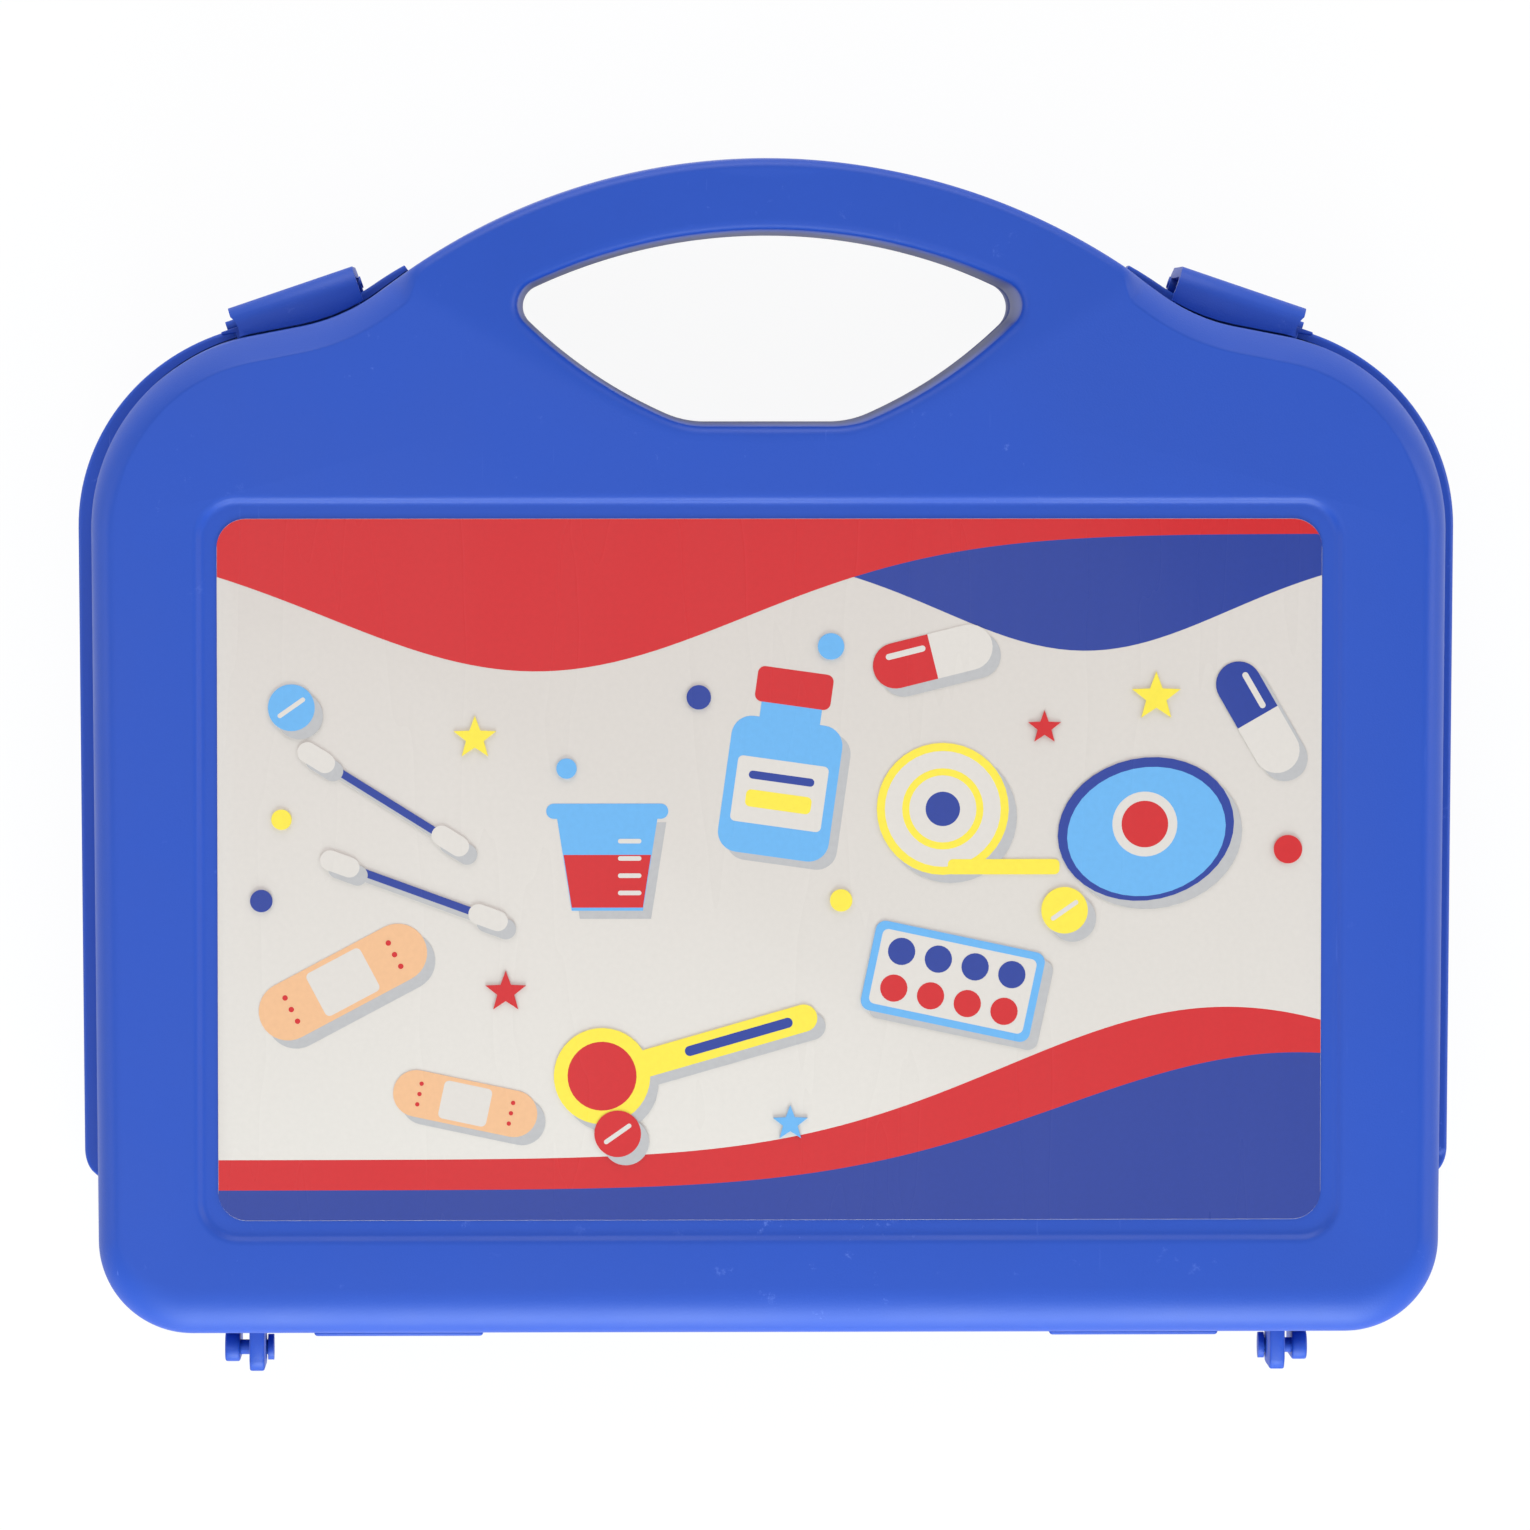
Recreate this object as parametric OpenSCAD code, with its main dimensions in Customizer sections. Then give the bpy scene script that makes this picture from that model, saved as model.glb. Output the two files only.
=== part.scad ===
// Toy doctor case: two moulded shells hinged along the bottom edge, a carrying
// handle split between them, a printed label and two snap latches.
// It lies on its back: X right, Y towards the handle, Z out of the label face.
// All lengths are in millimetres and all angles in degrees.

/* [Case] */
// Width across the sides where the top corners start
body_w = 267; // [245:1:290]
// Height at which the top corners start
side_h = 159; // [140:1:180]
// Depth of the front shell
front_d = 37; // [30:1:48]
// Depth of the rear shell
rear_d = 37; // [30:1:48]
// Wall thickness of both shells
wall = 2.4; // [1.8:0.1:3]
// Draft of the moulded walls
draft = 1.5; // [0.5:0.1:2.5]
// Lean of the sides, wider towards the top
taper = 0.4; // [0:0.1:1.5]

/* [Outline] */
// Radius of the bottom corners
bottom_r = 18.5; // [12:0.5:26]
// Radius of the top corners
top_r = 38.2; // [30:0.2:44]
// Slope of the shoulders
shoulder_slope = 11; // [6:1:15]
// Straight length of each shoulder
shoulder_len = 10.2; // [6:0.2:14]
// Radius between shoulder and handle
blend_r = 39; // [30:1:50]
// Slope of the handle where it leaves the shoulder
root_slope = 36; // [30:1:40]
// Straight length at the handle root
root_len = 4.6; // [2:0.2:8]

/* [Edges] */
// Width of the side and shoulder edge, seen from the front
edge_w = 5; // [3.5:0.5:7]
// Extra width of the edge along the bottom
edge_bottom = 4.5; // [0:0.5:7]
// Depth of the edge
edge_d = 8; // [5:0.5:10]
// Width of the handle edge
grip_edge = 2; // [1:0.25:3]
// How far the handle's face lies behind the case's face
grip_drop = 8; // [4:0.5:12]
// Length over which the face slopes back to the handle's top
drop_w = 50; // [40:2:60]
// Length over which the case's edge runs out at the handle
edge_fade = 7; // [5:0.5:10]

/* [Handle opening] */
// Height of the grip above the opening
grip_h = 14; // [11:0.5:17]
// Half length of the flat bottom
flat_half = 12.5; // [8:0.5:18]
// Radius beside the flat bottom
flat_r = 20; // [12:1:30]
// Radius of the lower sides
under_r = 95; // [80:1:120]
// Radius of the two tips
tip_r = 5; // [4:0.25:7]
// Slope of the top at its ends
arch_slope = 25; // [20:1:29]

/* [Label] */
// Border beside the recessed panel
side_border = 21.5; // [18:0.5:36]
// Height of the recessed panel
panel_h = 145; // [120:1:148]
// Height of the panel's middle
panel_y = 92; // [88:1:94]
// Depth of the recess
panel_d = 1.2; // [0.6:0.1:1.5]
// Half width of the slope round the recess
panel_slope = 0.8; // [0.2:0.1:1.2]
// Corner radius of the recess
panel_r = 7.4; // [4:0.2:12]
// Blue border between the recess and the label
label_gap = 3.4; // [1:0.1:8]
// Label thickness
label_t = 0.3; // [0.2:0.05:0.5]

/* [Seam] */
// Gap between the two rims
seam_gap = 0.2; // [0.1:0.05:0.5]
// Height of the tongue on the rear rim
tongue_h = 2.4; // [1.5:0.1:3]
// Clearance round the tongue
tongue_c = 0.3; // [0.25:0.05:0.4]
// How far the outer lip stands out
lip_t = 3.25; // [2:0.25:4]
// How far the lip reaches past the seam
lip_over = 5; // [3:0.5:6]
// How far the lip reaches down the rear shell
lip_under = 4.5; // [3:0.5:6]
// Clearance between the lip and the front shell
lip_c = 0.3; // [0.25:0.05:0.5]
// Height at which the lip starts
lip_y = 29; // [22:1:60]

/* [Hinge] */
// Distance of the hinge line below the case
hinge_y = 6; // [5:0.25:8]
// Radius of the ears round the pin
ear_r = 4.2; // [3.6:0.1:4.6]
// Thickness of each ear
ear_t = 3; // [2.5:0.1:3.5]
// Middle of the front shell's ears in from the side of the case
ear_in = 31.5; // [28:0.5:45]
// Distance between the two ears of a pair
ear_pitch = 5.3; // [4.5:0.1:6]
// Length of the ears along the wall
ear_l = 13; // [9:0.5:16]
// Radius of the hinge pins
pin_r = 1.5; // [1.2:0.1:1.8]
// Running clearance of a pin in its bore
pin_c = 0.05; // [0.03:0.01:0.08]
// Middle of the hinge strips in from the side of the case
strip_in = 59.5; // [56:0.5:65]
// Length of the hinge strips
strip_l = 34; // [20:1:38]

/* [Latches] */
// Width of each latch along the shoulder
latch_w = 26; // [20:0.5:28]
// Shift of the latch down the shoulder
latch_shift = 3; // [0:0.25:3]
// Height of the latch plate above the shoulder
latch_h = 7; // [6.75:0.25:8]
// Thickness of the latch plate
latch_t = 2.2; // [1.8:0.1:2.6]
// Reach of the latch over the front shell
latch_front = 16; // [14:0.5:20]
// Distance of the latch pin behind the seam
latch_back = 14; // [12:0.5:18]
// Radius of the latch knuckles
knuckle_r = 2.6; // [2.4:0.1:2.8]
// Radius of the latch pins
latch_pin_r = 1.2; // [1:0.1:1.4]
// Height of the catch above the shoulder
catch_h = 3; // [2:0.25:3.5]
// Depth of the catch
catch_t = 4.5; // [3:0.25:5]

/* [Ribs] */
// Thickness of the ribs
rib_t = 1.6; // [1.2:0.1:2]

/* [Hidden] */
blue = [0.1, 0.2, 0.75];
paper = [0.85, 0.84, 0.82];
$fn = 48;
eps = 0.01;
run_c = 0.3;                      // between faces that move past each other

// ---- outlines: chains of straights [length, 0, steps] and arcs [radius, turn, steps]
function go(q, s, f) = s[1] == 0
    ? [q[0] + s[0]*f*cos(q[2]), q[1] + s[0]*f*sin(q[2]), q[2]]
    : let (g = sign(s[1]), a = q[2] + s[1]*f)
      [q[0] + g*s[0]*(sin(a) - sin(q[2])), q[1] - g*s[0]*(cos(a) - cos(q[2])), a];
function walk(q, segs, k = 0) = k == len(segs) ? [] :
    let (s = segs[k], pts = [for (j = [1:s[2]]) go(q, s, j/s[2])])
    concat(pts, walk(pts[len(pts) - 1], segs, k + 1));
function last(v) = v[len(v) - 1];
// closes a half outline on the centre line with an arc of the given turn
function crown(start, half, turn, steps) =
    concat(half, walk(last(half), [[last(half)[0]/sin(turn), turn, steps]]));
// mirrors a half outline into a closed loop of [x, y, heading]
function loop(start, half) = concat([start], half,
    [for (i = [len(half) - 2:-1:0]) [-half[i][0], half[i][1], -half[i][2]]]);
// moves a point d to the left of its heading
function inset(q, d) = [q[0] - d*sin(q[2]), q[1] + d*cos(q[2])];

panel_w = body_w - 2*side_border;
ear_x = body_w/2 - ear_in;
strip_x = body_w/2 - strip_in;

start = [0, 0, 0];
foot_x = body_w/2 - (side_h - bottom_r)*tan(taper);
shoulder_path = [
    [top_r, 90 + taper - shoulder_slope, 9],
    [shoulder_len, 0, 3],
    [blend_r, shoulder_slope - root_slope, 5],
    [root_len, 0, 1]];
half_case = crown(start, walk(start, concat([
    [foot_x - bottom_r, 0, 6],
    [bottom_r, 90 - taper, 7],
    [side_h - bottom_r, 0, 8]], shoulder_path)), root_slope, 12);
root_i = len(half_case) - 12;     // where the handle leaves the shoulder
chord_b = half_case[root_i - 2];  // ends of the shoulder's straight and hollow stretch
chord_a = half_case[root_i - 10];
case_loop = loop(start, half_case);
top_y = last(half_case)[1];
n = len(case_loop);

under_turn = 20;
flat_turn = 24;
hole_half0 = crown(start, walk(start, [
    [flat_half, 0, 6],
    [flat_r, flat_turn, 4],
    [under_r, under_turn, 11],
    [tip_r, 180 - arch_slope - flat_turn - under_turn, 18]]), arch_slope, 12);
hole_y = top_y - grip_h - last(hole_half0)[1];
hole_half = [for (q = hole_half0) [q[0], q[1] + hole_y, q[2]]];
hole_loop = loop([0, hole_y, 0], hole_half);

// ---- the front face: flat up to a crest below the opening, then sloping gently back
crest_y = hole_y - 5.4;
function crest(x) = let (u = abs(x) - 25) crest_y + tan(33)*(u + sqrt(u*u + 400))/2;
function ease(t) = let (c = min(1, max(0, t))) c*c*(3 - 2*c);
// distance down a slope that starts with a soft bend
bend = 4;
function slope_run(t) = t <= 0 ? 0 : t < bend ? t*t/(2*bend) : t - bend/2;
function drop(x, y) = grip_drop*min(1, slope_run(y - crest(x))/drop_w);
// share of the body's edge form at a point of the outline: 1 on the body, 0 on the handle
function body_share(q) = 1 - ease((q[1] - crest(q[0]))/edge_fade);
function edge_width(q) = grip_edge + (edge_w - grip_edge + edge_bottom*max(0, cos(q[2])))*body_share(q);
function edge_depth(q) = 2.5 + (edge_d - 2.5)*body_share(q);
// 0 where the edge is round, 1 where it is a flat chamfer, as on the shoulders
function flatness(q) = 0.85*body_share(q)*max(0, -cos(q[2]));

function flare(d, z) = (d - edge_d - z)*tan(draft);

// ---- rings of the moulded skin; z runs from the seam (0) to the face (d)
function at(p, z) = [p[0], p[1], z];
function face_z(p, d) = d - drop(p[0], p[1]);
function outer_ring(d, a) = [for (q = case_loop) let (
    e = edge_width(q), h = edge_depth(q), f = flatness(q), top = face_z(inset(q, e), d),
    run = (1 - f)*(1 - cos(a)) + f*a/90, rise = (1 - f)*sin(a) + f*a/90)
    at(inset(q, e*run), top - h + h*rise)];
function wall_ring(d, in, z) = [for (q = case_loop) at(inset(q, in - flare(d, z)), z)];
function hole_ring(d, out, z) = [for (q = hole_loop) at(inset(q, flare(d, z) - out), z)];
function hole_edge(d, out, down) = [for (q = hole_loop) let (p = inset(q, -out)) at(p, face_z(p, d) - down)];
// a ring on the face, a share w of the way from the opening to the edge
span = 26;
function face_ring(d, w, edge, out, down) = [for (i = [0:n - 1]) let (
    o = inset(case_loop[i], max(edge_width(case_loop[i]), edge)), h = inset(hole_loop[i], -out),
    far = norm(o - h), k = w*min(1, span/far), p = h + (o - h)*k) at(p, face_z(p, d) - down)];
function inner_ring(d, a) = [for (q = case_loop) let (
    e = max(edge_width(q), wall + 1) - wall, h = max(edge_depth(q) - wall, 1),
    p = inset(q, wall + e*(1 - cos(a))), top = face_z(inset(q, wall + e), d) - wall)
    at(p, top - h + h*sin(a))];

// closed skin with the opening through it; each ring has n points
module skin(rings) {
    m = len(rings);
    polyhedron(
        points = [for (r = rings, p = r) p],
        faces = [for (k = [0:m - 1], i = [0:n - 1]) let (
            a = k*n + i, b = k*n + (i + 1)%n, c = ((k + 1)%m)*n + (i + 1)%n, e = ((k + 1)%m)*n + i)
            each [[a, c, b], [a, e, c]]]);
}
hole_round = 2;
module moulding(d, rim) {
    outer = concat([wall_ring(d, 0, 0)],
        [for (a = [0:22.5:90]) outer_ring(d, a)],
        [for (w = [0.7, 0.45, 0.25, 0.1]) face_ring(d, w, 0, hole_round, 0)],
        [hole_edge(d, hole_round, 0), hole_edge(d, hole_round*0.3, hole_round*0.3),
         hole_edge(d, 0, hole_round), hole_ring(d, 0, 0)]);
    inner = concat([hole_ring(d, wall, 0), hole_edge(d, wall, wall)],
        [for (w = [0.12, 0.25, 0.45, 0.7]) face_ring(d, w, wall + 1, wall, wall)],
        [for (a = [90:-30:0]) inner_ring(d, a)]);
    skin(concat(outer, inner, rim));
}
// the rear rim carries a tongue, the front rim a rebate that takes it
tongue_out = wall/2 + tongue_c/2;
rebate_in = tongue_out - tongue_c;
function tongue_rim() = [wall_ring(rear_d, wall, -tongue_h), wall_ring(rear_d, tongue_out, -tongue_h),
    wall_ring(rear_d, tongue_out, 0)];
function rebate_rim() = let (z = tongue_h + tongue_c)
    [wall_ring(front_d, wall, z), wall_ring(front_d, rebate_in, z), wall_ring(front_d, rebate_in, 0)];

// ---- rib that closes the hollow handle off from the case
module root_rib(d) {
    for (s = [-1, 1]) {
        o = inset(case_loop[root_i], wall*0.7);
        h = inset(hole_loop[root_i], -wall*0.7);
        t = (o - h)/norm(o - h)*rib_t/2;
        r = [-t[1], t[0]];
        translate([0, 0, tongue_h + 1])
            linear_extrude(face_z(o, d) - wall*0.6 - tongue_h - 1)
                polygon([for (p = [o + r, h + r, h - r, o - r]) [s*p[0], p[1]]]);
    }
}

// ---- flat shapes
module rounded(w, h, r) {
    square([w - 2*r, h], center = true);
    square([w, h - 2*r], center = true);
    for (x = [-1, 1], y = [-1, 1]) translate([x*(w/2 - r), y*(h/2 - r)]) circle(r);
}
// ear outline in (y, z): round about the hinge line, with an arm along the wall
ear_sink = 0.2;                   // how far the arm reaches past the foot of the outline
module ear_shape(arm_l) {
    circle(ear_r);
    translate([-ear_r, 0]) square([hinge_y + ear_r + ear_sink, arm_l - 2]);
    translate([-ear_r + 2, 0]) square([hinge_y + ear_r - 2 + ear_sink, arm_l]);
    translate([-ear_r + 2, arm_l - 2]) circle(2);
}
// extrudes a (y, z) outline along X about the hinge line
module across(x0, x1) translate([x0, -hinge_y, 0]) rotate([90, 0, 90]) linear_extrude(x1 - x0) children();
module ears(x, bore) for (s = [-1, 1]) difference() {
    across(s*x - ear_t/2, s*x + ear_t/2) ear_shape(ear_l);
    across(s*x - ear_t, s*x + ear_t) circle(bore);
}

// ---- latch frame: origin on the shoulder chord, X along it outwards, Y away from the case
tilt = atan2(chord_b[1] - chord_a[1], chord_b[0] - chord_a[0]) - 180;
latch_at = [(chord_a[0] + chord_b[0])/2 + latch_shift*cos(tilt), (chord_a[1] + chord_b[1])/2 + latch_shift*sin(tilt)];
seam_z = rear_d + seam_gap/2;
module on_shoulder(s) mirror([s < 0 ? 1 : 0, 0, 0])
    translate([latch_at[0], latch_at[1], seam_z]) rotate([0, 0, tilt]) children();
// extrudes a (z, v) outline along the shoulder between u0 and u1
module along(u0, u1) translate([u0, 0, 0]) rotate([90, 0, 90])
    linear_extrude(u1 - u0) mirror([1, 0]) rotate(90) children();
pin_v = latch_h - latch_t - knuckle_r + 1.7;
sink = 2;                         // how far lugs and catch reach into the wall
lug_u = 8;
lug_w = 4;
hook_z = latch_front - latch_t;   // inner face of the latch's front wall
catch_z = hook_z - 1.5;           // front face of the catch
plate_v = latch_h - latch_t;

module lug_shape() {
    circle(knuckle_r - 0.1);
    translate([-knuckle_r + 0.1, -pin_v - sink]) square([2*knuckle_r - 0.2, pin_v + sink]);
}
latch_corner = latch_t + 1.8;      // outer radius between plate and front wall
shoulder_c = flare(front_d, hook_z) + 0.35;
module latch_profile() {
    translate([0, pin_v]) circle(knuckle_r);
    translate([0, plate_v]) square([latch_back + latch_front - latch_corner + eps, latch_t]);
    translate([0, pin_v]) square([2, plate_v - pin_v + eps]);
    translate([latch_back + hook_z, -2.5]) square([latch_t, latch_h - latch_corner + 2.5 + eps]);
    translate([latch_back + hook_z - 1.2, 0.6]) square([1.2 + eps, 1.2]);
    translate([latch_back + latch_front - latch_corner, latch_h - latch_corner]) difference() {
        intersection() {
            circle(latch_corner);
            square(latch_corner);
        }
        circle(latch_corner - latch_t);
    }
}

// ---- the pieces
module rear_body() difference() {
    union() {
        translate([0, 0, rear_d]) mirror([0, 0, 1]) {
            moulding(rear_d, tongue_rim());
            root_rib(rear_d);
            ears(ear_x + ear_pitch, pin_r);
            for (s = [-1, 1]) translate([s*strip_x - strip_l/2, -lip_t - flare(rear_d, 0), 0.3])
                cube([strip_l, lip_t + flare(rear_d, 0) + wall/2, lip_under]);
        }
        lips();
        for (s = [-1, 1], u = [-lug_u, lug_u]) on_shoulder(s) translate([0, 0, -latch_back])
            difference() {
                along(u - lug_w/2, u + lug_w/2) translate([0, pin_v]) lug_shape();
                along(u - lug_w, u + lug_w) translate([0, pin_v]) circle(latch_pin_r);
            }
    }
}
// outer lip: a band swept round the sides, top corners and shoulders
lip_q = let (y = lip_y, x = foot_x + (lip_y - bottom_r)*tan(taper)) [x, y, 90 - taper];
lip_steps = [[1.5, 0, 1], [1.5, 0, 1], [2.5, 0, 1]];
lip_line = concat([lip_q], walk(lip_q, concat(lip_steps,
    [[(side_h - lip_y)/cos(taper) - 5.5, 0, 1]], shoulder_path, [[2.5, 0, 1]])));
lip_n = len(lip_line);
function lip_rise(i) = lip_t*min([1, [0.15, 0.6, 0.9, 1][min(i, 3)], [0.4, 0.85, 1][min(lip_n - 1 - i, 2)]]);
function lip_section(r) = let (b = flare(rear_d, 0), s = 0.4) [
    [wall*0.4 - b, -lip_under], [s - r - b, -lip_under], [-r - b, s - lip_under],
    [-r - b, lip_over - s], [s - r - b, lip_over], [-lip_c - b, lip_over], [-lip_c - b, -0.3], [wall*0.4 - b, -0.3]];
module lips() for (s = [-1, 1]) mirror([s < 0 ? 1 : 0, 0, 0]) translate([0, 0, rear_d]) {
    k = 8;
    polyhedron(
        points = [for (i = [0:lip_n - 1], c = lip_section(max(lip_rise(i), 0.8))) at(inset(lip_line[i], c[0]), c[1])],
        faces = concat([[6, 2, 1, 0, 7], [6, 5, 4, 3, 2]],
            [for (f = [[7, 0, 1, 2, 6], [2, 3, 4, 5, 6]]) [for (j = f) (lip_n - 1)*k + j]],
            [for (i = [0:lip_n - 2], j = [0:k - 1]) let (a = i*k + j, b = i*k + (j + 1)%k)
                each [[a, b, b + k], [a, b + k, a + k]]]));
}
module front_body() difference() {
    translate([0, 0, rear_d + seam_gap]) {
        moulding(front_d, rebate_rim());
        root_rib(front_d);
    }
    panel_cut();
}
face_top = rear_d + seam_gap + front_d;
// recess with sloping sides; the slope's middle is on the panel's outline
module panel_plate(out, z) translate([0, panel_y, z]) linear_extrude(eps)
    rounded(panel_w + 2*out, panel_h + 2*out, panel_r + out);
module panel_cut() hull() {
    panel_plate(-panel_slope, face_top - panel_d);
    panel_plate(panel_slope, face_top);
}

mid_y = (top_y + flare(rear_d, 0) - hinge_y - ear_r)/2;
module placed() translate([0, -mid_y, 0]) children();

module rear_shell() color(blue) placed() rear_body();
module front_shell() color(blue) placed() union() {
    front_body();
    translate([0, 0, seam_z]) ears(ear_x, pin_r + pin_c);
    for (s = [-1, 1]) on_shoulder(s)
        along(-latch_w/2 + 1, latch_w/2 + 3) translate([catch_z - catch_t, -sink])
            square([catch_t, catch_h + sink]);
}
module label() color(paper) placed() translate([0, panel_y, face_top - panel_d])
    linear_extrude(label_t) rounded(panel_w - 2*label_gap, panel_h - 2*label_gap, panel_r - label_gap/2);

// the front wall of a latch is cut to follow the shoulder
module latch(s) color(blue) placed() difference() {
    on_shoulder(s) translate([0, 0, -latch_back]) difference() {
        along(-latch_w/2, latch_w/2) latch_profile();
        for (u = [-lug_u, lug_u]) along(u - lug_w/2 - run_c, u + lug_w/2 + run_c)
            translate([-5, -1]) square([5 + knuckle_r + 1.2, latch_h + 2]);
        along(-latch_w, latch_w) translate([0, pin_v]) circle(latch_pin_r + pin_c);
    }
    translate([0, 0, seam_z + hook_z - 2]) linear_extrude(latch_t + 4)
        polygon([for (q = case_loop) inset(q, -shoulder_c)]);
}
module latch_left() latch(-1);
module latch_right() latch(1);
// latch pin: pressed into the lugs, with a tail past the outer end
pin_tail = 2.4;
module latch_pin(s) color(blue) placed() on_shoulder(s) translate([0, 0, -latch_back])
    along(-latch_w/2 - 0.3, latch_w/2 + pin_tail) translate([0, pin_v]) circle(latch_pin_r);
module latch_pin_left() latch_pin(-1);
module latch_pin_right() latch_pin(1);
// hinge pin: held in the rear ear, turning in the front ear, with a head inside
module hinge_pin(s) color(blue) placed() mirror([s < 0 ? 1 : 0, 0, 0]) translate([0, 0, seam_z]) {
    across(ear_x - ear_t/2 - run_c - eps, ear_x + ear_pitch + ear_t/2) circle(pin_r);
    across(ear_x - ear_t/2 - run_c - 1.2, ear_x - ear_t/2 - run_c) circle(pin_r + 1.1);
}
module hinge_pin_left() hinge_pin(-1);
module hinge_pin_right() hinge_pin(1);

rear_shell();
front_shell();
label();
latch_left();
latch_right();
latch_pin_left();
latch_pin_right();
hinge_pin_left();
hinge_pin_right();
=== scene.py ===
# Toy doctor case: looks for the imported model. The case lies on its back:
# X right, Y towards the handle, Z out of the label face. Metres, as in the frame.
import math

import bpy
from mathutils import Matrix, Vector


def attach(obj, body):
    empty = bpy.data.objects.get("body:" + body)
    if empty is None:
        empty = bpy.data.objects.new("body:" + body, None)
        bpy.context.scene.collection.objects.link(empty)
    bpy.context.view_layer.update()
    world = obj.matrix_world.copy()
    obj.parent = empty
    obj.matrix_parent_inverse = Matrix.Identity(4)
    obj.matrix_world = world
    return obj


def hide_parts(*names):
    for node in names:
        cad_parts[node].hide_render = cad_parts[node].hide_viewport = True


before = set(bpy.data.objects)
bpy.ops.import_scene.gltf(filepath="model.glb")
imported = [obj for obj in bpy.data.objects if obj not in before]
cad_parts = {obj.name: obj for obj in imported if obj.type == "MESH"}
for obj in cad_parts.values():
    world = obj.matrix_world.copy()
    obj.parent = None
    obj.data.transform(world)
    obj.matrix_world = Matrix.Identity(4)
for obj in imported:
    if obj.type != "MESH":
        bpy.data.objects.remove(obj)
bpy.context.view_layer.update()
scene = bpy.context.scene

# ---------------------------------------------------------------- Camera and light
# A long lens looks straight at the label from 1.7 m, a little from above the handle.
# Broad soft lamps stand round a white table that the case lies on.
camera_at = Vector((-0.034, 0.0798, 1.801))
look_at = Vector((-0.001, 0.0015, 0.0742))
lens_mm = 207

bpy.ops.object.camera_add(location=camera_at)
camera = bpy.context.object
out_of_picture = (camera_at - look_at).normalized()
to_right = Vector((0, 1, 0)).cross(out_of_picture).normalized()
picture_up = out_of_picture.cross(to_right)
camera.rotation_euler = Matrix((to_right, picture_up, out_of_picture)).transposed().to_euler()
camera.data.lens = lens_mm
camera.data.sensor_width = 36
camera.data.clip_start = 0.05
scene.camera = camera


def soft_lamp(name, place, size, power, colour=(1, 1, 1)):
    """A square lamp that faces the middle of the case."""
    bpy.ops.object.light_add(type="AREA", location=place)
    lamp = bpy.context.object
    lamp.name = name
    lamp.rotation_euler = (-Vector(place)).to_track_quat("-Z", "Y").to_euler()
    lamp.data.size = size
    lamp.data.energy = power
    lamp.data.color = colour


soft_lamp("lamp_front", place=(-0.35, -0.25, 1.7), size=1.2, power=6.5)
soft_lamp("lamp_foot", place=(0.05, -1.15, 0.42), size=0.9, power=21, colour=(0.86, 1, 1))
soft_lamp("lamp_head", place=(-0.1, 1.5, 0.5), size=1.0, power=14)
soft_lamp("lamp_left", place=(-1.5, 0.1, 0.6), size=0.9, power=5.5)
soft_lamp("lamp_right", place=(1.5, 0.2, 0.6), size=0.9, power=10)

# The sky is plain white to the lens and in reflections, and weaker as a light.
world = bpy.data.worlds.new("studio")
scene.world = world
world.use_nodes = True
sky = world.node_tree.nodes["Background"]
sky.inputs["Color"].default_value = (1, 1, 1, 1)
sky_ray = world.node_tree.nodes.new("ShaderNodeLightPath")
sky_level = world.node_tree.nodes.new("ShaderNodeMath")
sky_seen = world.node_tree.nodes.new("ShaderNodeMath")
sky_seen.operation = "MAXIMUM"
sky_level.operation = "MULTIPLY_ADD"
ambient = 0.5
sky_level.inputs[1].default_value = 1 - ambient
sky_level.inputs[2].default_value = ambient
world.node_tree.links.new(sky_ray.outputs["Is Camera Ray"], sky_seen.inputs[0])
world.node_tree.links.new(sky_ray.outputs["Is Glossy Ray"], sky_seen.inputs[1])
world.node_tree.links.new(sky_seen.outputs[0], sky_level.inputs[0])
world.node_tree.links.new(sky_level.outputs[0], sky.inputs["Strength"])

scene.view_settings.view_transform = "Standard"

# ---------------------------------------------------------------- Table
# A white table top under the case. The lens sees it nearly white, and it keeps the shadow.
table_size = 12
table_drop = 0.0002
white_share = 0.93  # how far the table looks plain white to the lens
bpy.ops.mesh.primitive_plane_add(size=table_size, location=(0, 0, -table_drop))
table = bpy.context.object
table.name = "table_top"

white = bpy.data.materials.new("white_table")
white.use_nodes = True
tree = white.node_tree
paint = tree.nodes["Principled BSDF"]
paint.inputs["Base Color"].default_value = (0.9, 0.9, 0.9, 1)
paint.inputs["Roughness"].default_value = 0.7
paint.inputs["Specular IOR Level"].default_value = 0.2
glow = tree.nodes.new("ShaderNodeEmission")
glow.inputs["Strength"].default_value = 1.0
table_ray = tree.nodes.new("ShaderNodeLightPath")
table_seen = tree.nodes.new("ShaderNodeMath")
table_seen.operation = "MAXIMUM"
table_share = tree.nodes.new("ShaderNodeMath")
table_share.operation = "MULTIPLY"
table_share.inputs[1].default_value = white_share
table_mix = tree.nodes.new("ShaderNodeMixShader")
tree.links.new(table_ray.outputs["Is Camera Ray"], table_seen.inputs[0])
tree.links.new(table_ray.outputs["Is Glossy Ray"], table_seen.inputs[1])
tree.links.new(table_seen.outputs[0], table_share.inputs[0])
tree.links.new(table_share.outputs[0], table_mix.inputs["Fac"])
tree.links.new(paint.outputs[0], table_mix.inputs[1])
tree.links.new(glow.outputs[0], table_mix.inputs[2])
tree.links.new(table_mix.outputs[0], tree.nodes["Material Output"].inputs["Surface"])
table.data.materials.append(white)


# ---------------------------------------------------------------- Front shell
# The front half: one injection moulding in blue polypropylene with a fine spark-eroded
# grain, half of the handle, a sunk panel for the label, two hinge ears and two catches.
# The skin is drawn as rings that run round the case's outline and round the hand hole.
def sind(a):
    return math.sin(math.radians(a))


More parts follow.
